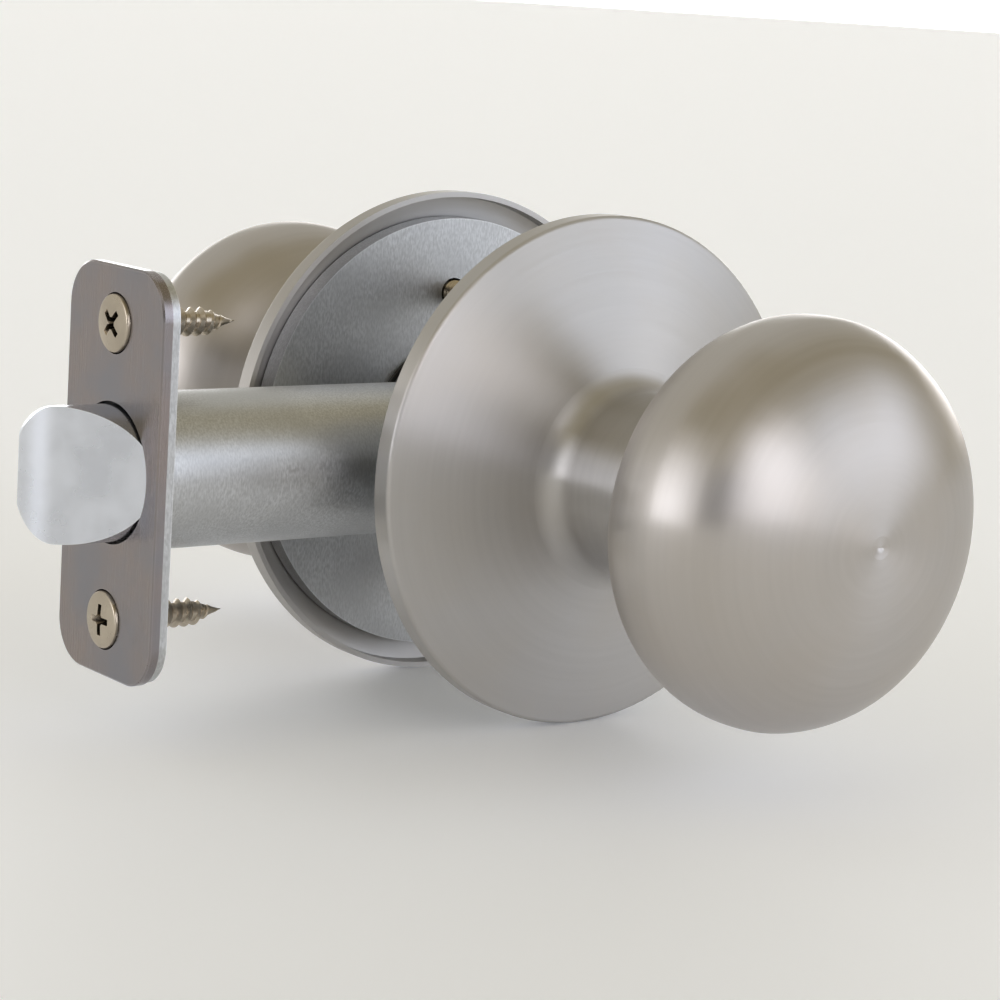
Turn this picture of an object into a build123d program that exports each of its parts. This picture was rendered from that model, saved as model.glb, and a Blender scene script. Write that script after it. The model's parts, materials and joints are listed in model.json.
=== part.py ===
from build123d import *
import os
from math import cos, pi, radians, sin, tan

# Tubular passage door-knob set, millimetres.
# Frame: +Z up, the spindle lies along Y, the latch points along -X and the
# origin is on the spindle axis in the middle of the door's thickness.
# The outer knob is on the -Y side, the inner knob on the +Y side.

# ---- door and standard fixing sizes ----
door_t = 34.9
door_face = door_t / 2
backset = 69.85
clearance = 0.3
running = 0.06
snug = 0.03
sheet = 0.8

# ---- knob ----
knob_r = 28.5
knob_plane = 44.6
knob_front = 17.2
knob_back = 16.4
front_power = 2.3
back_power = 2.15
knob_wall = 1.0
collar_r = 13.2
collar_s = 26.9
collar_fillet = 1.2
heel_overlap = 3.0
dimple_r = 1.7
dimple_depth = 0.1

# ---- shank, driver and spindle ----
shank_r = 12.3
shank_wall = 1.2
shank_bottom = -3.2
shank_flange_r = 15.4
shank_flange_s = 31.8
shank_flange_t = 1.1
driver_bottom = 0.5
driver_top = 12.0
spindle_w = 7.8
socket_w = 7.9
spindle_end = 12.5
spindle_chamfer = 0.8
spindle_pin_r = 1.25
spindle_pin_s = 7.0
spindle_pin_short = 0.2

# ---- rose ----
rose_r = 37.6
rose_edge_s = 3.3
rose_edge_round = 0.7
cone_r = 19.0
cone_s = 8.2
neck_r = 13.4
neck_fillet = 4.0
neck_top = 25.6
bead_r = 0.75
bead_out = 0.1

# ---- mounting plate, bearing and retaining ring ----
plate_r = 33.5
plate_t = 2.0
plate_lip = 1.2
plate_lip_h = 1.1
bearing_r = 14.2
bearing_flange_r = 17.0
bearing_flange_t = 1.2
bearing_bottom = -0.5
bearing_top = 7.4
groove_depth = 0.6
groove_bottom = -1.85
groove_top = -0.75
ring_r = 13.7
ring_gap = 7.0

# ---- posts and through screws ----
post_z = 22.0
post_r = 3.5
post_len = 20.0
post_head_r = 4.6
post_head_t = 1.0
screw_r = 2.0
screw_len = 30.0
screw_head_r = 3.9
screw_head_t = 1.1
screw_dome = 0.9
pocket_r = 4.4
pocket_s = 5.0
screw_hole_r = 2.3
slot_w = 1.4
slot_len = 5.0
slot_depth = 1.5
slot_floor_w = 0.6
slot_floor_len = 2.2

# ---- faceplate and its wood screws ----
face_w = 25.4
face_h = 57.15
face_corner = 6.35
face_t = 1.5
face_edge = 0.25
back_t = 1.3
back_inset = 0.3
wood_z = 20.64
wood_hole_r = 2.3
wood_head_r = 4.05
wood_rim = 0.35
wood_band = 0.35
wood_tip_r = 0.3
wood_sink_r = 4.25
wood_dome = 0.45
wood_shank_r = 2.1
wood_len = 19.0
wood_point = 5.0

# ---- latch tube and bolt ----
tube_r = 11.0
tube_rear = -22.0
bolt_r = 9.5
bolt_hole_r = 9.9
bolt_reach = 10.8
bolt_flat_y = 6.95
bolt_flat_round = 1.2
bolt_tip_round = 7.5
bolt_nose_round = 2.4
bevel_angle = 47.0
bevel_start_y = -8.6
bevel_start = 0.8
bevel_round = 2.0
bolt_rear = -54.0
guide_rear = -56.0
tail_w = 8.0
tail_t = 2.8
tail_front = -62.0
tail_rear = -23.0
bolt_pin_r = 1.4
bolt_pin_x = -58.0
bolt_pin_sunk = 0.3
bolt_pin_outer = -7.2

# ---- spring and its stop ----
stop_front = -33.5
stop_t = 1.5
stop_slot_play = 0.2
spring_r = 6.2
spring_wire_r = 0.6
spring_turns = 6
spring_seat_gap = 0.1

# ---- hub, retractor and case ----
turn_limit = 62.0
finger_rest = 31.0
finger_reach = 11.3
finger_r = 1.3
finger_t = 2.4
hub_r = 6.8
hub_half = 3.1
journal_r = 6.2
journal_half = 5.0
cross_pin_r = 1.5
cross_pin_z = 8.5
cross_pin_gap = 0.25
pin_short = 0.3
strap_t = 1.6
strap_front = -31.5
strap_narrow = 5.0
strap_wide = 10.2
strap_shoulder = -20.3
strap_wrap = 0.7
fork_z = 6.95
link_pin_x = -27.0
case_in = 3.3
case_t = 1.2
case_half_h = 8.2
case_front = -31.7
case_rear = 14.2
case_rivet_x = 12.6
case_rivet_z = 4.0
case_rivet_r = 1.4
case_rivet_head_r = 2.2
case_rivet_head_t = 0.6
case_lip_gap = 0.05

face_x = -backset
back_x = face_x + face_t
seat_x = back_x + back_t
tube_in = tube_r - sheet
bolt_tip = face_x - bolt_reach
cone_drop = (cone_s - rose_edge_s) / (rose_r - rose_edge_round - cone_r)
finger_lean = radians(finger_rest)
cross_pin_x = (
    (finger_r + cross_pin_r) / cos(finger_lean)
    - cross_pin_z * tan(finger_lean)
    + cross_pin_gap
)
bolt_travel = 2 * cross_pin_z * tan(radians(turn_limit / 2))

outer_side = Location((0, -door_face, 0), (90, 0, 0))
inner_side = Location((0, door_face, 0), (-90, 0, 0))


# ---- small builders: trims are made along +Z, the distance out of the door face ----
def disc(radius, low, high, hole=0.0):
    solid = Pos(0, 0, low) * Cylinder(radius, high - low, align=(Align.CENTER, Align.CENTER, Align.MIN))
    if hole:
        solid -= Pos(0, 0, low) * Cylinder(hole, high - low, align=(Align.CENTER, Align.CENTER, Align.MIN))
    return solid


def rod_x(radius, low, high, hole=0.0):
    return Location((0, 0, 0), (0, 90, 0)) * disc(radius, low, high, hole)


def rod_y(radius, low, high, x=0.0, z=0.0):
    return Location((x, 0, z), (-90, 0, 0)) * disc(radius, low, high)


def block(low, high):
    size = [b - a for a, b in zip(low, high)]
    return Pos(*low) * Box(*size, align=(Align.MIN, Align.MIN, Align.MIN))


def turned(outline):
    return revolve(Plane.XZ * make_face(outline), Axis.Z)


def slab_y(profile, low, high):
    """A flat X-Z profile given thickness from y = low to y = high."""
    return extrude(Plane.XZ.offset(-low) * profile, amount=-(high - low))


# ---- knobs ----
def bulge(depth, radius, power, share):
    """A point of a superellipse quarter: share 0 at the pole, 1 at the equator."""
    angle = share * pi / 2
    return radius * sin(angle) ** (2 / power), depth * cos(angle) ** (2 / power)


def knob_body(inset):
    radius = knob_r - inset
    shares = [0.12, 0.3, 0.5, 0.7, 0.88]
    front = [bulge(knob_front - inset, radius, front_power, a) for a in shares]
    back = [bulge(knob_back - inset, radius, back_power, a) for a in shares]
    nose = (0, knob_plane + knob_front - inset)
    heel = (0, knob_plane - knob_back + inset)
    side = (radius, knob_plane)
    front_line = Spline(
        nose, *[(r, knob_plane + d) for r, d in front], side, tangents=((1, 0), (0, -1))
    )
    back_line = Spline(
        side, *[(r, knob_plane - d) for r, d in reversed(back)], heel, tangents=((0, -1), (-1, 0))
    )
    return turned(front_line + back_line + Line(heel, nose))


def knob_shell():
    body = knob_body(0) + disc(collar_r, collar_s, knob_plane - knob_back + heel_overlap)
    root = body.edges().filter_by(GeomType.BSPLINE).sort_by(Axis.Z)[0]
    body = fillet(root, collar_fillet)
    body -= knob_body(knob_wall)
    body -= disc(shank_r + snug, collar_s, shank_flange_s)
    ball_r = (dimple_r**2 + dimple_depth**2) / (2 * dimple_depth)
    nose = knob_plane + knob_front
    return body - Pos(0, 0, nose - dimple_depth + ball_r) * Sphere(ball_r)


def knob_shank():
    top = shank_flange_s + shank_flange_t
    solid = disc(shank_r, shank_bottom, top) + disc(shank_flange_r, shank_flange_s, top)
    solid -= disc(shank_r - shank_wall, shank_bottom, top)
    groove = disc(shank_r, groove_bottom, groove_top, shank_r - groove_depth)
    return solid - groove


def knob_driver():
    solid = disc(shank_r - shank_wall - snug, driver_bottom, driver_top)
    return solid - Pos(0, 0, driver_top / 2) * Box(socket_w, socket_w, 2 * driver_top)


def retaining_ring():
    low, high = groove_bottom + running / 2, groove_top - running / 2
    ring = disc(ring_r, low, high, shank_r - groove_depth)
    return ring - Pos(0, -ring_r, 0) * Box(ring_gap, 2 * groove_depth + ring_r, 4 * ring_r)


# ---- rose, mounting plate and bearing ----
def rose_body(inset):
    rim = rose_r - inset
    lower = inset * (1 + cone_drop**2) ** 0.5
    neck = neck_r - inset
    cone_base = rose_edge_s - lower + (rose_r - rose_edge_round) * cone_drop
    shoulder = (rim, cone_base - rim * cone_drop)
    corner = (neck, cone_base - neck * cone_drop)
    edge_round = max(rose_edge_round - inset, rose_edge_round / 3)
    points = [(rim, 0), shoulder, corner, (neck, neck_top)]
    side = FilletPolyline(*points, radius=[edge_round, neck_fillet + inset])
    ends = Polyline((neck, neck_top), (0, neck_top), (0, 0), (rim, 0))
    return turned(side + ends)


def rose():
    shell = rose_body(0) - rose_body(sheet)
    bead = Pos(0, 0, neck_top) * Torus(neck_r + bead_out, bead_r)
    return shell + bead


def rose_with_pockets():
    solid = rose()
    full = rose_body(0)
    for side in (-post_z, post_z):
        cup = Pos(0, side, 0) * disc(pocket_r + sheet, pocket_s - sheet, neck_top / 2)
        solid += cup & full
        solid -= Pos(0, side, 0) * disc(pocket_r, pocket_s, neck_top / 2)
        solid -= Pos(0, side, 0) * disc(screw_hole_r, pocket_s - sheet, pocket_s)
    return solid


def mounting_plate(hole_r):
    solid = disc(plate_r, 0, plate_t, bearing_r + snug)
    solid += disc(plate_r, plate_t, plate_t + plate_lip_h, plate_r - plate_lip)
    for side in (-post_z, post_z):
        solid -= Pos(0, side, 0) * disc(hole_r, 0, plate_t)
    return solid


def bearing():
    top = plate_t + bearing_flange_t
    solid = disc(bearing_r, bearing_bottom, bearing_top) + disc(bearing_flange_r, plate_t, top)
    return solid - disc(shank_r + running, bearing_bottom, bearing_top)


# ---- posts and screws ----
def cross_slot(head_top):
    """A cross recess that narrows towards its floor."""
    mouth = Pos(0, 0, head_top) * Rectangle(slot_len, slot_w)
    floor = Pos(0, 0, head_top - slot_depth) * Rectangle(slot_floor_len, slot_floor_w)
    wing = loft([floor, mouth])
    return wing + Rot(0, 0, 90) * wing


def mounting_post():
    tip = -(post_len - plate_t)
    solid = disc(post_r, tip, plate_t) + disc(post_head_r, plate_t, plate_t + post_head_t)
    return solid - disc(screw_r + running, tip, -plate_t)


def domed_head(radius, low, high, dome):
    """A disc with a spherical top that rises by dome."""
    ball_r = (radius**2 + dome**2) / (2 * dome)
    ball = Pos(0, 0, high + dome - ball_r) * Sphere(ball_r)
    return disc(radius, low, high) + (disc(radius, high, high + dome) & ball)


def through_screw():
    low = pocket_s
    top = low + screw_head_t + screw_dome
    solid = domed_head(screw_head_r, low, low + screw_head_t, screw_dome)
    solid += disc(screw_r, low - screw_len, low)
    return solid - cross_slot(top)


def wood_screw(twist):
    """Countersunk oval head with its rim just proud of the faceplate, made along +Z."""
    band_low = wood_rim - wood_band
    solid = domed_head(wood_head_r, band_low, wood_rim, wood_dome)
    plates_t = face_t + back_t
    solid += Pos(0, 0, -plates_t) * Cone(
        wood_shank_r, wood_head_r, plates_t + band_low, align=(Align.CENTER, Align.CENTER, Align.MIN)
    )
    solid += disc(wood_shank_r, -(wood_len - wood_point), -plates_t)
    solid += Pos(0, 0, -wood_len) * Cone(
        wood_tip_r, wood_shank_r, wood_point, align=(Align.CENTER, Align.CENTER, Align.MIN)
    )
    return solid - Rot(0, 0, twist) * cross_slot(wood_rim + wood_dome)


# ---- faceplate, tube and bolt ----
def face_outline(inset):
    return RectangleRounded(face_h - 2 * inset, face_w - 2 * inset, face_corner - inset)


front_plane = Plane(origin=(face_x, 0, 0), x_dir=(0, 0, 1), z_dir=(-1, 0, 0))


def screw_sink():
    """The countersink that runs through both plates, made along +Z."""
    depth = face_t + back_t
    return Pos(0, 0, -depth) * Cone(
        wood_hole_r, wood_sink_r, depth, align=(Align.CENTER, Align.CENTER, Align.MIN)
    )


def faceplate():
    solid = extrude(front_plane * face_outline(0), amount=-face_t)
    solid = chamfer(solid.faces().sort_by(Axis.X)[0].edges(), face_edge)
    solid -= rod_x(bolt_hole_r, face_x, back_x)
    for side in (-wood_z, wood_z):
        solid -= front_plane.location * Pos(side, 0, 0) * screw_sink()
    return solid


def latch_backplate():
    plane = front_plane.offset(-face_t)
    solid = extrude(plane * face_outline(back_inset), amount=-back_t)
    solid -= rod_x(tube_r + snug, back_x, seat_x)
    for side in (-wood_z, wood_z):
        solid -= front_plane.location * Pos(side, 0, 0) * screw_sink()
    return solid


def bolt_outline():
    """The bolt seen from above: flat strike side, rounded tip and a bevel."""
    slope = radians(bevel_angle)
    bevel_end = (bolt_tip, bevel_start_y + (bolt_reach + bevel_start) / tan(slope))
    start = (face_x + bevel_start, bevel_start_y)
    low_corner = (face_x + bevel_start + (bolt_r + bevel_start_y), -bolt_r)
    side = FilletPolyline(
        (bolt_rear, bolt_flat_y), (bolt_tip, bolt_flat_y), bevel_end, start, low_corner,
        radius=[bolt_flat_round, bolt_tip_round, bevel_round],
    )
    return side + Polyline(low_corner, (bolt_rear, -bolt_r), (bolt_rear, bolt_flat_y))


def latch_bolt():
    solid = rod_x(bolt_r, bolt_tip, bolt_rear)
    solid = fillet(solid.edges().sort_by(Axis.X)[0], bolt_nose_round)
    solid &= extrude(make_face(bolt_outline()), amount=bolt_r, both=True)
    solid -= block((tail_front, -tail_t / 2, -tail_w / 2), (bolt_rear, tail_t / 2, tail_w / 2))
    return solid - bolt_pin()


def bolt_pin():
    return rod_y(bolt_pin_r, bolt_pin_outer, bolt_flat_y - bolt_pin_sunk, x=bolt_pin_x)


def bolt_tail():
    solid = block((tail_front, -tail_t / 2, -tail_w / 2), (tail_rear, tail_t / 2, tail_w / 2))
    return solid - bolt_pin() - link_pin()


def spring_stop():
    rear = stop_front + stop_t
    half_t, half_w = tail_t / 2 + stop_slot_play, tail_w / 2 + stop_slot_play
    slot = block((stop_front, -half_t, -half_w), (rear, half_t, half_w))
    return rod_x(tube_in - snug, stop_front, rear) - slot


def bolt_spring():
    low = bolt_rear + spring_wire_r + spring_seat_gap
    height = stop_front - bolt_rear - 2 * (spring_wire_r + spring_seat_gap)
    path = Helix(pitch=height / spring_turns, height=height, radius=spring_r)
    wire = sweep((path ^ 0) * Circle(spring_wire_r), path=path)
    return Location((low, 0, 0), (0, 90, 0)) * wire


# ---- hub, retractor and case ----
def latch_hub():
    solid = rod_y(hub_r, -hub_half, hub_half) + rod_y(journal_r, -journal_half, journal_half)
    for end in (1, -1):
        length = finger_reach - finger_r
        arm = Pos(0, end * length / 2) * Rectangle(2 * finger_r, length)
        arm += Pos(0, end * length) * Circle(finger_r)
        lean = finger_rest * end
        solid += slab_y(Rot(0, 0, lean) * arm, -finger_t / 2, finger_t / 2)
    return solid - Box(socket_w, 4 * journal_half, socket_w)


def cross_pins():
    ends = case_in - pin_short
    return [rod_y(cross_pin_r, -ends, ends, cross_pin_x, z) for z in (-cross_pin_z, cross_pin_z)]


def link_pin():
    ends = case_in - pin_short
    return rod_y(bolt_pin_r, -ends, ends, x=link_pin_x)


def retractor_strap(side):
    rear = cross_pin_x + cross_pin_r + strap_wrap
    narrow = Pos((strap_front + strap_shoulder) / 2, 0) * Rectangle(
        strap_shoulder - strap_front, 2 * strap_narrow
    )
    wide = Pos((strap_shoulder + rear) / 2, 0) * Rectangle(rear - strap_shoulder, 2 * strap_wide)
    slot_x = -bolt_travel - clearance
    gap = Pos(slot_x, 0) * Circle(fork_z)
    gap += Pos((slot_x + rear) / 2, 0) * Rectangle(rear - slot_x, 2 * fork_z)
    inner = tail_t / 2
    ends = sorted((side * inner, side * (inner + strap_t)))
    solid = slab_y(narrow + wide - gap, *ends)
    for pin in (*cross_pins(), link_pin()):
        solid -= pin
    return solid


def case_rivets():
    ends = case_in + case_t
    rivets = []
    for z in (-case_rivet_z, case_rivet_z):
        rivet = rod_y(case_rivet_r, -ends, ends, case_rivet_x, z)
        for low in (-ends - case_rivet_head_t, ends):
            rivet += rod_y(case_rivet_head_r, low, low + case_rivet_head_t, case_rivet_x, z)
        rivets.append(rivet)
    return rivets


def case_half(side):
    low, high = sorted((side * case_in, side * (case_in + case_t)))
    solid = block((case_front, low, -case_half_h), (case_rear, high, case_half_h))
    lip_low, lip_high = sorted((side * case_lip_gap, side * (case_in + case_t)))
    lip = block((case_rear, lip_low, -case_half_h), (case_rear + case_t, lip_high, case_half_h))
    solid += lip
    solid -= rod_y(journal_r + running, *sorted((0, side * journal_half)))
    for z in (-case_rivet_z, case_rivet_z):
        solid -= rod_y(case_rivet_r + snug, *sorted((0, side * journal_half)), case_rivet_x, z)
    return solid


# ---- spindle ----
def spindle_pin(side):
    pin_half = shank_r - shank_wall - spindle_pin_short
    y = side * (door_face + spindle_pin_s)
    return Location((0, y, 0), (0, 90, 0)) * disc(spindle_pin_r, -pin_half, pin_half)


def spindle():
    end = door_face + spindle_end
    bar = Box(spindle_w, 2 * end, spindle_w)
    ends = bar.faces().sort_by(Axis.Y)
    bar = chamfer(ends[0].edges() + ends[-1].edges(), spindle_chamfer)
    return bar - spindle_pin(-1)


# ---- assembly ----
nodes = {}
for name, place in (("outer", outer_side), ("inner", inner_side)):
    nodes[f"{name}_knob_shell"] = place * knob_shell()
    nodes[f"{name}_knob_shank"] = place * knob_shank()
    nodes[f"{name}_knob_driver"] = place * knob_driver()
    nodes[f"{name}_retaining_ring"] = place * retaining_ring()
    nodes[f"{name}_bearing"] = place * bearing()

nodes["outer_knob_driver"] -= spindle_pin(-1)
nodes["spindle_pin"] = spindle_pin(-1)
nodes["spindle"] = spindle()
nodes["outer_rose"] = outer_side * rose()
nodes["inner_rose"] = inner_side * rose_with_pockets()
nodes["outer_mounting_plate"] = outer_side * mounting_plate(post_r + snug)
nodes["inner_mounting_plate"] = inner_side * mounting_plate(screw_hole_r)
post_places = [Pos(0, z, 0) for z in (-post_z, post_z)]
nodes["mounting_posts"] = [outer_side * p * mounting_post() for p in post_places]
nodes["through_screws"] = [inner_side * p * through_screw() for p in post_places]

front = front_plane.location
nodes["faceplate"] = faceplate()
nodes["upper_faceplate_screw"] = front * Pos(wood_z, 0, 0) * wood_screw(45)
nodes["lower_faceplate_screw"] = front * Pos(-wood_z, 0, 0) * wood_screw(0)
nodes["latch_backplate"] = latch_backplate()
nodes["latch_tube"] = rod_x(tube_r, back_x, tube_rear, tube_in)
nodes["bolt_guide"] = rod_x(tube_in - snug, back_x, guide_rear, bolt_r + running)
nodes["latch_bolt"] = latch_bolt()
nodes["bolt_pin"] = bolt_pin()
nodes["bolt_tail"] = bolt_tail()
nodes["bolt_spring"] = bolt_spring()
nodes["spring_stop"] = spring_stop()
nodes["latch_hub"] = latch_hub()
nodes["outer_retractor_strap"] = retractor_strap(-1)
nodes["inner_retractor_strap"] = retractor_strap(1)
nodes["link_pin"] = link_pin()
nodes["cross_pins"] = cross_pins()
nodes["outer_latch_case"] = case_half(-1)
nodes["inner_latch_case"] = case_half(1)
nodes["case_rivets"] = case_rivets()

os.makedirs("parts", exist_ok=True)
for name, shape in nodes.items():
    solid = Compound(children=shape) if isinstance(shape, list) else shape
    export_step(solid, f"parts/{name}.step")
print(len(nodes), "nodes, bolt travel", round(bolt_travel, 3))
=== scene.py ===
import json
from math import acos, cos, pi, radians, sin

import bmesh
import bpy
from mathutils import Matrix, Vector


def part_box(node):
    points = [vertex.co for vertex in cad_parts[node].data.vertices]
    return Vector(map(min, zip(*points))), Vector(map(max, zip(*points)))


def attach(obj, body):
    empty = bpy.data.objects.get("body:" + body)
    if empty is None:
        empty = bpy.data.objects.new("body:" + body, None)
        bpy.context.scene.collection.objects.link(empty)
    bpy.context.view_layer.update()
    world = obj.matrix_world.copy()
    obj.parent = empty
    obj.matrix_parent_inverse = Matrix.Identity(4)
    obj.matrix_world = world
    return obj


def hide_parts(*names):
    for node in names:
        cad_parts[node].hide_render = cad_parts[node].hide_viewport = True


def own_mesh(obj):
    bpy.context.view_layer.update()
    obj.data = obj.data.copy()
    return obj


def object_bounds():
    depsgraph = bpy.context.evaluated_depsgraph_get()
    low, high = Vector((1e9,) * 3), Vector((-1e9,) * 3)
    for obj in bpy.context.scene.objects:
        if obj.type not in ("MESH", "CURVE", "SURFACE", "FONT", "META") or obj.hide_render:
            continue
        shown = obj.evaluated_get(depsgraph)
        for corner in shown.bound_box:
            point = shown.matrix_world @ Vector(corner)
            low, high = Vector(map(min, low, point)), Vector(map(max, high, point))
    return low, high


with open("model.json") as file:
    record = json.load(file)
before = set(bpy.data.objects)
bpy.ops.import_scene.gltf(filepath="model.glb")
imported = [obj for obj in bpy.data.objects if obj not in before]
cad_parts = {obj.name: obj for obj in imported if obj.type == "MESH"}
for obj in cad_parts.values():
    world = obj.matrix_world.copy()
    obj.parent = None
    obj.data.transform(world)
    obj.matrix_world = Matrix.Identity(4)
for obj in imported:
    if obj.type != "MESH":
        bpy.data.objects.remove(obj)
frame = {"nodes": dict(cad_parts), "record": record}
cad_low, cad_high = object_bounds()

# The door-knob set, in metres: +Z up, outer knob towards -Y, latch bolt towards -X.
MM = 0.001
NODES = frame["nodes"]

# ---- camera: where it stands, in degrees and metres ----
CAMERA_AZIMUTH = -37.83
CAMERA_ELEVATION = 9.87
CAMERA_ROLL = 3.67
CAMERA_DISTANCE = 0.438
CAMERA_AIM = Vector((-0.00191, -0.00010, -0.00756))
CAMERA_LENS = 103.84  # millimetres, on this sensor
CAMERA_SENSOR = 36.0

# ---- materials: sizes in metres ----
TURNING_LINE = 0.22 * MM
TURNING_REACH = 0.9  # how far the pattern drifts round one ring, in noise units
TURNING_CENTRE = 0.2 * MM  # the rings fade out inside this radius
ANISOTROPY_TILT = 0.25  # a quarter turn: the highlight runs across the turning marks
GRAIN_LINE = 0.25 * MM
SOFT_EDGE = 0.3 * MM
# reach of the painted shade that darkens the screws' cross recesses and the ring round their heads
SCREW_SHADE_REACH = 1.2 * MM

# ---- screws: sizes in metres, steps per turn or per arc ----
SCREW_STEPS = 72
HEAD_STEPS = 10
THREAD_STEPS = 36
THREAD_HALF = 0.36  # half width of the ridge's foot, in pitches
THREAD_FOOT = 0.96  # radius of the ridge's foot, in core radii
SHARP_ANGLE = 32  # degrees; a steeper edge than this stays sharp
RIM_STEPS = 5
RIM_ROUND = 0.28 * MM
RECESS_SIZE = 5.4 * MM
RECESS_WIDTH = 1.05 * MM
RECESS_FLOOR_SIZE = 2.6 * MM
RECESS_FLOOR_WIDTH = 0.65 * MM
RECESS_DEPTH = 2.1 * MM
RECESS_FLARE = 1.15 * MM
FLARE_STEPS = 16
WOOD_RIM = 0.44  # share of the head's height that its rim takes, under the dome
WOOD_CORE, WOOD_CREST = 0.36, 0.52  # thread radii, in head radii
WOOD_FLARE, WOOD_NECK, WOOD_THREAD = 0.6, 0.8, 0.95  # depths below the rim, in head radii
WOOD_POINT = 0.24  # share of the length that the point takes
WOOD_END = 0.4 * MM  # bare tip past the thread
WOOD_PITCH = 1.6 * MM
THROUGH_CORE, THROUGH_CREST = 1.65 * MM, 2.0 * MM
THROUGH_PITCH = 0.8 * MM
THROUGH_RIM, THROUGH_DOME = 1.1 * MM, 0.9 * MM
THROUGH_RUNOUT = 2.0 * MM
THROUGH_TWIST = 0.6  # radians

# ---- bolt spring: sizes in metres ----
SPRING_WIRE = 0.6 * MM  # the wire's radius
SPRING_TURNS = 7.5
SPRING_STEPS = 32
WIRE_STEPS = 12
SPRING_CLOSE = 0.5  # share taken off the spacing of the end turns

# ---- studio light: (azimuth, half width, top elevation, softness in degrees, radiance) ----
PANELS = (
    (-5, 15, 34, 18, (2.16, 2.22, 2.50)),
    (42, 24, 30, 21, (1.24, 1.39, 1.72)),
    (143, 38, 13, 8, (3.5, 3.5, 3.6)),
    (265, 16, 30, 44, (2.88, 2.97, 3.28)),
    (174, 61, 77, 7, (0.25, 0.28, 0.34)),
)
FLAG = (316, 20, 25, 21)  # a window of the same kind that shades the ambient light
AMBIENT = (0.43, 0.38, 0.26)
FLOOR_REACH = 60.0
FLOOR_COLOUR = (0.94, 0.96, 1.0)
FLOOR_GLOW = 0.09


# ================= node helpers =================
class NodeTree:
    """What materials and the sky share: links and arithmetic between node sockets."""

    def link(self, source, target):
        self.tree.links.new(source, target)

    def math(self, operation, a, b=None):
        node = self.tree.nodes.new("ShaderNodeMath")
        node.operation = operation
        for socket, value in zip(node.inputs, (a, b)):
            if value is None:
                continue
            if isinstance(value, (int, float)):
                socket.default_value = value
            else:
                self.link(value, socket)
        return node.outputs[0]


class Shader(NodeTree):
    """A material under construction: one Principled BSDF and the nodes that feed it."""

    def __init__(self, name, colour, roughness, metallic=1.0):
        self.material = bpy.data.materials.new(name)
        self.material.use_nodes = True
        self.tree = self.material.node_tree
        self.bsdf = next(n for n in self.tree.nodes if n.type == "BSDF_PRINCIPLED")
        self.bsdf.inputs["Base Color"].default_value = (*colour, 1.0)
        self.bsdf.inputs["Roughness"].default_value = roughness
        self.bsdf.inputs["Metallic"].default_value = metallic
        self.coordinates = self.tree.nodes.new("ShaderNodeTexCoord").outputs["Object"]

    def split(self, vector):
        node = self.tree.nodes.new("ShaderNodeSeparateXYZ")
        self.link(vector, node.inputs[0])
        return node.outputs

    def join(self, x, y, z):
        node = self.tree.nodes.new("ShaderNodeCombineXYZ")
        for socket, value in zip(node.inputs, (x, y, z)):
            self.link(value, socket)
        return node.outputs[0]

    def noise(self, vector, scale, detail=3.0, w=None, rough=0.5):
        node = self.tree.nodes.new("ShaderNodeTexNoise")
        node.noise_dimensions = "3D" if w is None else "4D"
        self.link(vector, node.inputs["Vector"])
        if w is not None:
            self.link(w, node.inputs["W"])
        node.inputs["Scale"].default_value = scale
        node.inputs["Detail"].default_value = detail
        node.inputs["Roughness"].default_value = rough
        return node.outputs["Fac"]

    def remap(self, value, low, high, to_low, to_high):
        node = self.tree.nodes.new("ShaderNodeMapRange")
        self.link(value, node.inputs["Value"])
        for name, number in (
            ("From Min", low), ("From Max", high), ("To Min", to_low), ("To Max", to_high)
        ):
            node.inputs[name].default_value = number
        return node.outputs["Result"]

    def mix(self, share, a, b):
        """a where share is 0, b where it is 1; a and b are colours or colour sockets."""
        node = self.tree.nodes.new("ShaderNodeMix")
        node.data_type = "RGBA"
        self.link(share, node.inputs["Factor"])
        for socket, value in zip((s for s in node.inputs if s.type == "RGBA"), (a, b)):
            if isinstance(value, tuple):
                socket.default_value = (*value, 1.0)
            else:
                self.link(value, socket)
        return next(s for s in node.outputs if s.type == "RGBA")

    def roughen(self, value, low, high):
        """Sets the roughness from a noise, low where it is 0.3 and high where it is 0.7."""
        self.link(self.remap(value, 0.3, 0.7, low, high), self.bsdf.inputs["Roughness"])

    def bump(self, height, strength, distance):
        node = self.tree.nodes.new("ShaderNodeBump")
        node.inputs["Strength"].default_value = strength
        node.inputs["Distance"].default_value = distance
        self.link(height, node.inputs["Height"])
        self.link(node.outputs["Normal"], self.bsdf.inputs["Normal"])

    def edge_wear(self, radius):
        """0 on flats, rising to 1 along convex edges, from the angle between true and rounded normals."""
        bevel = self.tree.nodes.new("ShaderNodeBevel")
        bevel.samples = 4
        bevel.inputs["Radius"].default_value = radius
        geometry = self.tree.nodes.new("ShaderNodeNewGeometry")
        dot = self.tree.nodes.new("ShaderNodeVectorMath")
        dot.operation = "DOT_PRODUCT"
        self.link(bevel.outputs["Normal"], dot.inputs[0])
        self.link(geometry.outputs["True Normal"], dot.inputs[1])
        return self.remap(dot.outputs["Value"], 1.0, 0.86, 0.0, 1.0)

    def painted_recess_shade(self, reach):
        """Mask for painted shade: 1 on open faces, falling to 0 deep in recesses narrower than reach."""
        node = self.tree.nodes.new("ShaderNodeAmbientOcclusion")
        node.samples = 8
        node.inputs["Distance"].default_value = reach
        return self.remap(node.outputs["AO"], 0.30, 0.72, 0.0, 1.0)


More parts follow.
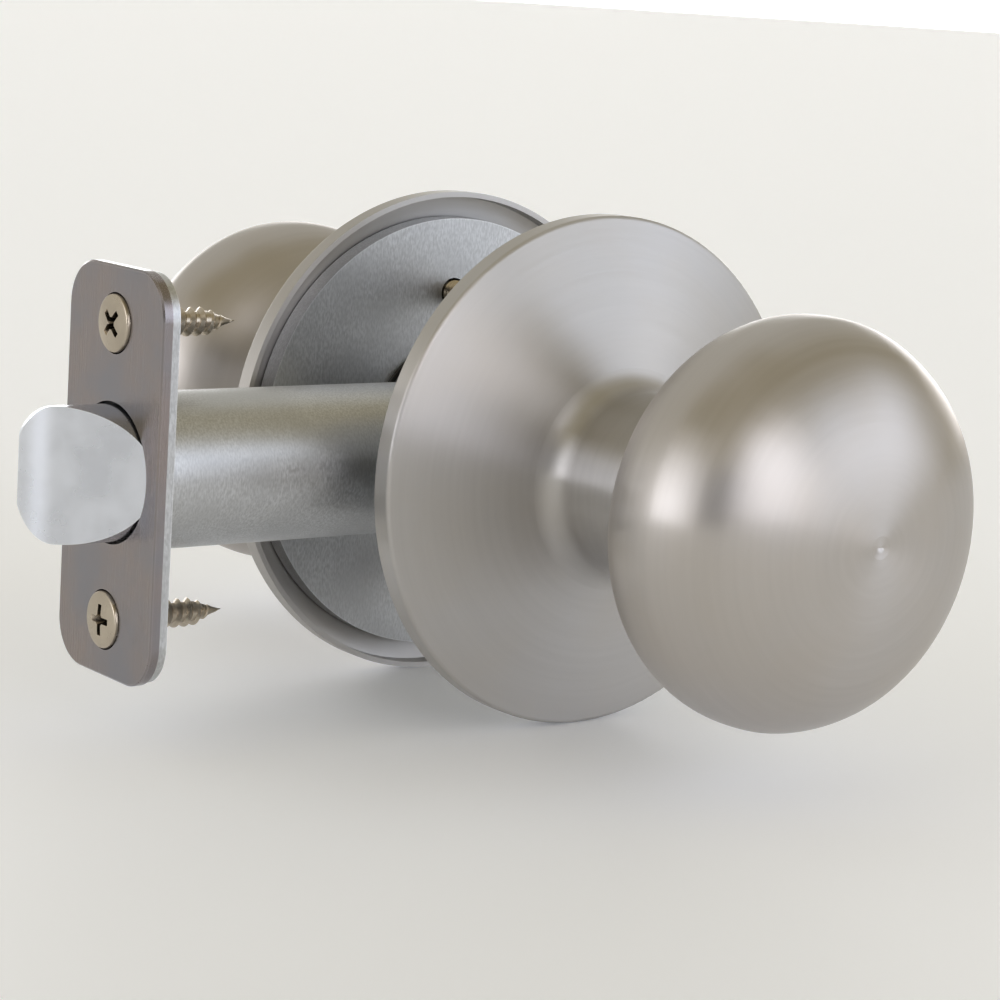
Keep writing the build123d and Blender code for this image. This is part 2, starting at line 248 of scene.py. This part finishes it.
def turned_metal(name, colour, roughness, anisotropy):
    """Metal brushed in circles round the Y axis."""
    shader = Shader(name, colour, roughness)
    x, y, z = shader.split(shader.coordinates)
    square = shader.math("ADD", shader.math("MULTIPLY", x, x), shader.math("MULTIPLY", z, z))
    radius = shader.math("SQRT", square)
    safe = shader.math("MAXIMUM", radius, TURNING_CENTRE)
    along = shader.math("MULTIPLY", shader.math("DIVIDE", x, safe), TURNING_REACH)
    across = shader.math("MULTIPLY", shader.math("DIVIDE", z, safe), TURNING_REACH)

    def rings(line, detail):
        place = shader.join(shader.math("DIVIDE", radius, line), shader.math("DIVIDE", y, line), along)
        return shader.noise(place, 1.0, detail=detail, w=across)

    fine = rings(TURNING_LINE, 2.0)
    broad = rings(4 * TURNING_LINE, 5.0)
    cloud = shader.noise(shader.coordinates, 45.0, detail=3.0)
    dark = tuple(0.965 * c for c in colour)
    light = tuple(min(1.0, 1.02 * c) for c in colour)
    tone = shader.mix(shader.remap(broad, 0.32, 0.68, 0.0, 1.0), dark, light)
    warm = (colour[0], 0.965 * colour[1], 0.91 * colour[2])
    tone = shader.mix(shader.remap(cloud, 0.42, 0.66, 0.0, 0.5), tone, warm)
    shader.link(tone, shader.bsdf.inputs["Base Color"])
    both = shader.math("ADD", shader.math("MULTIPLY", fine, 0.45), shader.math("MULTIPLY", broad, 0.55))
    shader.roughen(both, roughness - 0.025, roughness + 0.03)
    shader.bsdf.inputs["Anisotropic"].default_value = anisotropy
    shader.bsdf.inputs["Anisotropic Rotation"].default_value = ANISOTROPY_TILT
    tangent = shader.tree.nodes.new("ShaderNodeTangent")
    tangent.direction_type = "RADIAL"
    tangent.axis = "Y"
    shader.link(tangent.outputs["Tangent"], shader.bsdf.inputs["Tangent"])
    shader.bump(both, 0.04, 0.05 * MM)
    return shader.material


def brushed_metal(name, colour, roughness, grain):
    """Sheet metal with a straight grain; grain is how much finer the pattern is along each axis."""
    shader = Shader(name, colour, roughness)
    x, y, z = shader.split(shader.coordinates)
    stretched = shader.join(*(shader.math("MULTIPLY", v, g) for v, g in zip((x, y, z), grain)))
    fine = shader.noise(stretched, 1.0 / (GRAIN_LINE * max(grain)), detail=3.0)
    cloud = shader.noise(shader.coordinates, 110.0, detail=4.0)
    dark = tuple(0.80 * c for c in colour)
    light = tuple(min(1.0, 1.10 * c) for c in colour)
    tone = shader.mix(shader.remap(fine, 0.35, 0.65, 0.0, 1.0), dark, light)
    tone = shader.mix(shader.remap(cloud, 0.40, 0.70, 0.0, 0.6), tone, dark)
    worn = tuple(min(1.0, 1.5 * c) for c in colour)
    tone = shader.mix(shader.math("MULTIPLY", shader.edge_wear(SOFT_EDGE), 0.7), tone, worn)
    shader.link(tone, shader.bsdf.inputs["Base Color"])
    shader.roughen(fine, roughness - 0.06, roughness + 0.08)
    shader.bump(fine, 0.15, 0.03 * MM)
    return shader.material


def face_metal(name, colour, roughness):
    """The faceplate's darker satin: a faint upright grain under soft brown stains."""
    shader = Shader(name, colour, roughness)
    x, y, z = shader.split(shader.coordinates)
    steps = (0.2 * MM, 0.2 * MM, 12 * MM)
    stretched = shader.join(*(shader.math("DIVIDE", v, step) for v, step in zip((x, y, z), steps)))
    grain = shader.noise(stretched, 1.0, detail=4.0)
    stain = shader.noise(shader.coordinates, 70.0, detail=4.0, rough=0.6)
    spots = shader.noise(shader.coordinates, 260.0, detail=3.0, rough=0.6)
    brown = (1.10 * colour[0], 1.00 * colour[1], 0.93 * colour[2])
    cool = (0.90 * colour[0], 0.95 * colour[1], 1.02 * colour[2])
    tone = shader.mix(shader.remap(stain, 0.36, 0.64, 0.0, 1.0), cool, brown)
    tone = shader.mix(shader.remap(spots, 0.58, 0.74, 0.0, 0.35), tone, tuple(0.8 * c for c in colour))
    tone = shader.mix(shader.remap(grain, 0.30, 0.70, 0.0, 0.22), tone, tuple(1.35 * c for c in colour))
    worn = tuple(1.7 * c for c in colour)
    tone = shader.mix(shader.math("MULTIPLY", shader.edge_wear(0.25 * MM), 0.6), tone, worn)
    shader.link(tone, shader.bsdf.inputs["Base Color"])
    both = shader.math("ADD", shader.math("MULTIPLY", grain, 0.5), shader.math("MULTIPLY", stain, 0.5))
    shader.roughen(both, roughness - 0.06, roughness + 0.08)
    shader.bump(grain, 0.10, 0.02 * MM)
    return shader.material


def plated_metal(name, colour, roughness, mottle=0.06, shade_reach=0.0):
    """Smooth plated or cast metal with a faint orange-peel, brighter edges and, if asked, painted shade
    that darkens its recesses.
    """
    shader = Shader(name, colour, roughness)
    cloud = shader.noise(shader.coordinates, 160.0, detail=4.0)
    peel = shader.noise(shader.coordinates, 1400.0, detail=2.0)
    dark = tuple((1 - 2 * mottle) * c for c in colour)
    tone = shader.mix(shader.remap(cloud, 0.38, 0.66, 0.0, 1.0), colour, dark)
    worn = tuple(min(1.0, 1.25 * c) for c in colour)
    tone = shader.mix(shader.math("MULTIPLY", shader.edge_wear(SOFT_EDGE), 0.6), tone, worn)
    # painted shade: ambient occlusion darkens the colour in recesses and where the part meets its
    # neighbours
    if shade_reach:
        tone = shader.mix(shader.painted_recess_shade(shade_reach), tuple(0.05 * c for c in colour), tone)
    shader.link(tone, shader.bsdf.inputs["Base Color"])
    shader.roughen(cloud, roughness - 0.04, roughness + 0.07)
    shader.bump(peel, 0.06, 0.03 * MM)
    return shader.material


def nylon(name, colour):
    """Moulded black plastic, slightly translucent; its near-black colour also paints the shade in the gap
    round the latch bolt.
    """
    shader = Shader(name, colour, 0.45, metallic=0.0)
    shader.bsdf.inputs["Subsurface Weight"].default_value = 0.15
    shader.bsdf.inputs["Subsurface Scale"].default_value = 0.6 * MM
    cloud = shader.noise(shader.coordinates, 240.0, detail=4.0)
    tone = shader.mix(shader.remap(cloud, 0.35, 0.7, 0.0, 1.0), colour, tuple(0.9 * c for c in colour))
    shader.link(tone, shader.bsdf.inputs["Base Color"])
    shader.roughen(cloud, 0.38, 0.52)
    shader.bump(cloud, 0.08, 0.05 * MM)
    return shader.material


def floor_paint(name, colour):
    """Matt paint with a faint glow that keeps the floor pale away from the panels."""
    shader = Shader(name, colour, 0.6, metallic=0.0)
    cloud = shader.noise(shader.coordinates, 9.0, detail=5.0)
    tone = shader.mix(shader.remap(cloud, 0.3, 0.7, 0.0, 1.0), colour, tuple(0.985 * c for c in colour))
    shader.link(tone, shader.bsdf.inputs["Base Color"])
    shader.bsdf.inputs["Emission Color"].default_value = (*colour, 1.0)
    shader.bsdf.inputs["Emission Strength"].default_value = FLOOR_GLOW
    return shader.material


MATERIALS = {
    "satin_nickel": turned_metal("satin_nickel", (0.503, 0.478, 0.458), 0.33, 0.78),
    "rose_nickel": turned_metal("rose_nickel", (0.531, 0.516, 0.502), 0.35, 0.96),
    "plate_nickel": face_metal("plate_nickel", (0.272, 0.256, 0.262), 0.24),
    "bright_zinc": plated_metal("bright_zinc", (0.77, 0.80, 0.87), 0.24),
    # the screws carry painted shade in their cross recesses and round their heads
    "screw_nickel": plated_metal("screw_nickel", (0.53, 0.465, 0.375), 0.26, 0.09, SCREW_SHADE_REACH),
    "zinc_steel": brushed_metal("zinc_steel", (0.60, 0.61, 0.62), 0.40, grain=(3, 3, 1)),
    "plain_steel": turned_metal("plain_steel", (0.52, 0.51, 0.49), 0.32, 0.5),
    "spring_steel": plated_metal("spring_steel", (0.34, 0.35, 0.37), 0.34),
    "die_cast_zinc": plated_metal("die_cast_zinc", (0.55, 0.56, 0.57), 0.48, 0.1),
    # near-black partly as painted shade: it darkens the gap round the latch bolt
    "nylon": nylon("nylon", (0.03, 0.03, 0.032)),
}


def dress_cad_nodes():
    """Every CAD node takes the material of its slot in the record, except the roses, which take
    rose_nickel.
    """
    for part in frame["record"]["subparts"]:
        finish = "rose_nickel" if part["node"].endswith("_rose") else part["material_slot"]
        mesh = NODES[part["node"]].data
        mesh.materials.clear()
        mesh.materials.append(MATERIALS[finish])


# ================= pieces =================
def make_piece(name, verts, faces):
    """A new object with this mesh, linked into the scene."""
    mesh = bpy.data.meshes.new(name)
    mesh.from_pydata(verts, [], faces)
    mesh.validate()
    piece = bpy.data.objects.new(name, mesh)
    bpy.context.scene.collection.objects.link(piece)
    return piece


def finish_piece(piece, node, body, slot):
    """Gives a piece its material and the body it rides on, and hides the CAD node it stands for."""
    piece.data.materials.append(MATERIALS[slot])
    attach(piece, body)
    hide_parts(node)


# ================= screws =================
def lathe(profile):
    """Turns an outline of (height, radius) points, from axis to axis, round Z."""
    verts, faces, rings = [], [], []
    for height, radius in profile:
        if radius == 0:
            rings.append([len(verts)] * SCREW_STEPS)
            verts.append((0.0, 0.0, height))
            continue
        rings.append(range(len(verts), len(verts) + SCREW_STEPS))
        for k in range(SCREW_STEPS):
            angle = 2 * pi * k / SCREW_STEPS
            verts.append((radius * cos(angle), radius * sin(angle), height))
    for ring, after in zip(rings, rings[1:]):
        for k in range(SCREW_STEPS):
            j = (k + 1) % SCREW_STEPS
            corners = list(dict.fromkeys((ring[k], after[k], after[j], ring[j])))
            faces.append(corners)
    return verts, faces


def domed_head(radius, rim, dome):
    """Outline points from the top of a low dome, round its edge and down to its rim."""
    inner = radius - RIM_ROUND
    crown = dome - RIM_ROUND / 2
    ball = (inner ** 2 + crown ** 2) / (2 * crown)
    reach = acos((ball - crown) / ball)
    points = []
    for i in range(HEAD_STEPS + 1):
        angle = reach * i / HEAD_STEPS
        points.append((rim + dome - ball * (1 - cos(angle)), ball * sin(angle)))
    edge = points[-1][0]
    for i in range(1, RIM_STEPS + 1):
        angle = reach + (pi / 2 - reach) * i / RIM_STEPS
        height = edge - RIM_ROUND * (cos(reach) - cos(angle))
        points.append((height, inner + RIM_ROUND * (sin(angle) - sin(reach))))
    return points


def thread_ridge(core, crest, pitch, start, end, taper):
    """A helical ridge that runs down from start to end and narrows over the last taper of it."""
    verts, faces = [], []
    count = int((start - end) / pitch * THREAD_STEPS)
    for i in range(count + 1):
        height = start - pitch * i / THREAD_STEPS
        angle = 2 * pi * i / THREAD_STEPS
        share = min(1.0, max(0.0, (height - end) / taper))
        ridge = min(1.0, i / THREAD_STEPS) * share * (crest - core)
        for offset, rise in ((THREAD_HALF, 0.0), (0.0, ridge), (-THREAD_HALF, 0.0)):
            radius = THREAD_FOOT * core * share + rise
            verts.append((radius * cos(angle), radius * sin(angle), height + offset * pitch))
    for i in range(count):
        for j in range(2):
            a = 3 * i + j
            faces.append((a, a + 1, a + 4, a + 3))
    return verts, faces


def cross_wedges(top):
    """Two crossed wedges and a cone that narrow towards the floor of a cross recess."""
    verts, faces = [], []
    levels = (
        (top + MM, RECESS_SIZE, RECESS_WIDTH),
        (top - RECESS_DEPTH, RECESS_FLOOR_SIZE, RECESS_FLOOR_WIDTH),
    )
    for turn in (0.0, pi / 2):
        b = len(verts)
        for height, size, width in levels:
            for u, v in ((-1, -1), (1, -1), (1, 1), (-1, 1)):
                x, y = u * size / 2, v * width / 2
                verts.append((x * cos(turn) - y * sin(turn), x * sin(turn) + y * cos(turn), height))
        faces += [(b, b + 1, b + 2, b + 3), (b + 7, b + 6, b + 5, b + 4)]
        faces += [(b + k, b + 4 + k, b + 4 + (k + 1) % 4, b + (k + 1) % 4) for k in range(4)]
    b = len(verts)
    for height, radius in ((top + MM, RECESS_FLARE), (top - RECESS_DEPTH, RECESS_FLOOR_WIDTH / 2)):
        for k in range(FLARE_STEPS):
            angle = 2 * pi * k / FLARE_STEPS
            verts.append((radius * cos(angle), radius * sin(angle), height))
    upper, lower = range(b, b + FLARE_STEPS), range(b + FLARE_STEPS, b + 2 * FLARE_STEPS)
    faces += [tuple(upper), tuple(reversed(lower))]
    for k in range(FLARE_STEPS):
        j = (k + 1) % FLARE_STEPS
        faces.append((upper[k], lower[k], lower[j], upper[j]))
    return verts, faces


def screw(name, profile, thread, spot, twist=0.0):
    """A cross-head screw along +Z, set down at spot."""
    body = make_piece(name, *lathe(profile))
    cutter = make_piece(name + "_cutter", *cross_wedges(profile[0][0]))
    cutter.data.transform(Matrix.Rotation(twist, 4, "Z"))
    boolean = body.modifiers.new("recess", "BOOLEAN")
    boolean.operation = "DIFFERENCE"
    boolean.solver = "EXACT"
    boolean.use_self = True
    boolean.object = cutter
    cut = bpy.data.meshes.new_from_object(body.evaluated_get(bpy.context.evaluated_depsgraph_get()))
    body.modifiers.clear()
    bpy.data.objects.remove(cutter)
    built = bmesh.new()
    built.from_mesh(cut)
    verts, faces = thread_ridge(*thread)
    ridge = bpy.data.meshes.new("ridge")
    ridge.from_pydata(verts, [], faces)
    built.from_mesh(ridge)
    built.transform(spot)
    for face in built.faces:
        face.smooth = True
    for edge in built.edges:
        edge.smooth = not edge.is_manifold or edge.calc_face_angle() < radians(SHARP_ANGLE)
    built.to_mesh(cut)
    built.free()
    body.data = cut
    return body


def frame_at(origin, up):
    """A transform that sets local +Z along up, with local X as near the world's Z as it can be."""
    z = Vector(up).normalized()
    x = (Vector((0, 0, 1)) - z * z.z).normalized()
    return Matrix.Translation(origin) @ Matrix((x, z.cross(x), z)).transposed().to_4x4()


def add_wood_screws():
    """The faceplate's two screws: oval heads, coarse threads and points."""
    for node, twist in (("upper_faceplate_screw", radians(45)), ("lower_faceplate_screw", 0.0)):
        low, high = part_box(node)
        rim_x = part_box("faceplate")[0].x
        head_r = (high.y - low.y) / 2
        length = high.x - rim_x
        proud = rim_x - low.x
        core, crest = WOOD_CORE * head_r, WOOD_CREST * head_r
        point = WOOD_POINT * length
        profile = domed_head(head_r, WOOD_RIM * proud, (1 - WOOD_RIM) * proud)
        profile += [(0.0, head_r), (-WOOD_FLARE * head_r, crest), (-WOOD_NECK * head_r, core)]
        profile += [(point - length, core), (-length, 0.0)]
        thread = (core, crest, WOOD_PITCH, -WOOD_THREAD * head_r, WOOD_END - length, point)
        centre = (low + high) / 2
        spot = frame_at((rim_x, centre.y, centre.z), (-1, 0, 0))
        piece = screw(node + "_threaded", profile, thread, spot, twist)
        finish_piece(piece, node, "root", "screw_nickel")


def add_through_screws():
    """The two long machine screws that clamp the roses, in one CAD node."""
    low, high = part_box("through_screws")
    head_r = high.x
    seat = high.y - THROUGH_RIM - THROUGH_DOME
    tip = low.y - seat
    for side, place in (("upper", high.z - head_r), ("lower", low.z + head_r)):
        profile = domed_head(head_r, THROUGH_RIM, THROUGH_DOME)
        profile += [(0.0, head_r), (0.0, THROUGH_CORE), (tip, THROUGH_CORE), (tip, 0.0)]
        thread = (
            THROUGH_CORE, THROUGH_CREST, THROUGH_PITCH, -THROUGH_RUNOUT, tip + MM, THROUGH_RUNOUT
        )
        spot = frame_at((0, seat, place), (0, 1, 0))
        piece = screw(side + "_through_screw", profile, thread, spot, THROUGH_TWIST)
        finish_piece(piece, "through_screws", "root", "screw_nickel")


# ================= spring =================
def spring_centre(turn, low_x, high_x, radius):
    """A point of the wire's centre line; the end turns lie closer together than the middle ones."""
    share = turn / SPRING_TURNS
    along = share - SPRING_CLOSE * sin(2 * pi * share) / (2 * pi)
    angle = 2 * pi * turn
    return Vector((low_x + along * (high_x - low_x), radius * cos(angle), radius * sin(angle)))


def add_spring():
    """A wound wire for the bolt's spring; its end turns lie closer together than the middle ones."""
    low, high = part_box("bolt_spring")
    radius = (high.y - low.y) / 2 - SPRING_WIRE
    ends = (low.x + SPRING_WIRE, high.x - SPRING_WIRE, radius)
    count = int(SPRING_TURNS * SPRING_STEPS)
    verts, faces = [], []
    for i in range(count + 1):
        turn = i / SPRING_STEPS
        centre = spring_centre(turn, *ends)
        out = Vector((0, cos(2 * pi * turn), sin(2 * pi * turn)))
        for k in range(WIRE_STEPS):
            angle = 2 * pi * k / WIRE_STEPS
            verts.append(centre + SPRING_WIRE * (cos(angle) * out + sin(angle) * Vector((1, 0, 0))))
    for i in range(count):
        a, b = i * WIRE_STEPS, (i + 1) * WIRE_STEPS
        for k in range(WIRE_STEPS):
            j = (k + 1) % WIRE_STEPS
            faces.append((a + k, b + k, b + j, a + j))
    faces.append(tuple(range(WIRE_STEPS)))
    faces.append(tuple(range(count * WIRE_STEPS + WIRE_STEPS - 1, count * WIRE_STEPS - 1, -1)))
    piece = make_piece("bolt_spring_coil", verts, faces)
    for face in piece.data.polygons:
        face.use_smooth = True
    finish_piece(piece, "bolt_spring", "root", "spring_steel")
    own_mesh(piece)


# ================= stage =================
def add_floor():
    """A wide flat floor under the lowest point of the set."""
    low = min(cad_low[2], 0.0)
    corners = [(u * FLOOR_REACH, v * FLOOR_REACH, low) for u, v in ((-1, -1), (1, -1), (1, 1), (-1, 1))]
    floor = make_piece("floor", corners, [(0, 1, 2, 3)])
    floor.data.materials.append(floor_paint("floor_paint", FLOOR_COLOUR))


class Sky(NodeTree):
    """The world shader: a dim surround with soft light panels, each set by its direction."""

    def __init__(self):
        self.world = bpy.data.worlds.new("studio")
        self.world.use_nodes = True
        self.tree = self.world.node_tree
        self.direction = self.tree.nodes.new("ShaderNodeSeparateXYZ")
        coordinates = self.tree.nodes.new("ShaderNodeTexCoord")
        self.link(coordinates.outputs["Generated"], self.direction.inputs[0])
        self.elevation = self.math("ARCSINE", self.direction.outputs["Z"])

    def dot(self, x, y):
        """The direction's share along a level (x, y)."""
        a = self.math("MULTIPLY", self.direction.outputs["X"], x)
        return self.math("ADD", a, self.math("MULTIPLY", self.direction.outputs["Y"], y))

    def soft_step(self, value, centre, width):
        """0 below centre - width / 2, 1 above centre + width / 2, smooth between."""
        node = self.tree.nodes.new("ShaderNodeMapRange")
        node.interpolation_type = "SMOOTHSTEP"
        self.link(value, node.inputs["Value"])
        node.inputs["From Min"].default_value = centre - width / 2
        node.inputs["From Max"].default_value = centre + width / 2
        return node.outputs["Result"]

    def panel(self, azimuth, half_width, top, softness):
        """1 inside a window of directions that stands on the horizon, 0 outside it."""
        a = radians(azimuth)
        ahead = self.dot(sin(a), -cos(a))
        aside = self.dot(cos(a), sin(a))
        off = self.math("ABSOLUTE", self.math("ARCTAN2", aside, ahead))
        across = self.soft_step(self.math("MULTIPLY", off, -1.0), -radians(half_width), radians(softness))
        up = self.soft_step(self.math("MULTIPLY", self.elevation, -1.0), -radians(top), radians(softness))
        return self.math("MULTIPLY", across, up)

    def tint(self, colour, factor):
        node = self.tree.nodes.new("ShaderNodeVectorMath")
        node.operation = "SCALE"
        node.inputs[0].default_value = colour
        self.link(factor, node.inputs["Scale"])
        return node.outputs[0]

    def add(self, a, b):
        node = self.tree.nodes.new("ShaderNodeVectorMath")
        node.operation = "ADD"
        self.link(a, node.inputs[0])
        self.link(b, node.inputs[1])
        return node.outputs[0]


def add_lights():
    """The ambient light with its flag, and the panels on top of it."""
    sky = Sky()
    flag = sky.math("SUBTRACT", 1.0, sky.panel(*FLAG))
    total = sky.tint(AMBIENT, flag)
    for *window, radiance in PANELS:
        total = sky.add(total, sky.tint(radiance, sky.panel(*window)))
    sky.link(total, sky.tree.nodes["Background"].inputs["Color"])
    bpy.context.scene.world = sky.world


def add_camera():
    """The photo's view: a camera that looks at CAMERA_AIM, rolled about its own axis."""
    azimuth, elevation, roll = map(radians, (CAMERA_AZIMUTH, CAMERA_ELEVATION, CAMERA_ROLL))
    back = Vector((sin(azimuth) * cos(elevation), -cos(azimuth) * cos(elevation), sin(elevation)))
    right = Vector((cos(azimuth), sin(azimuth), 0.0))
    up = back.cross(right)
    rolled_right = cos(roll) * right + sin(roll) * up
    rolled_up = -sin(roll) * right + cos(roll) * up
    camera = bpy.data.objects.new("camera", bpy.data.cameras.new("camera"))
    camera.data.lens = CAMERA_LENS
    camera.data.sensor_width = CAMERA_SENSOR
    camera.data.clip_start = 0.01
    axes = Matrix((rolled_right, rolled_up, back)).transposed()
    camera.matrix_world = Matrix.Translation(CAMERA_AIM + CAMERA_DISTANCE * back) @ axes.to_4x4()
    bpy.context.scene.collection.objects.link(camera)
    bpy.context.scene.camera = camera


dress_cad_nodes()
add_wood_screws()
add_through_screws()
add_spring()
add_floor()
add_lights()
add_camera()
bpy.context.scene.view_settings.view_transform = "Standard"
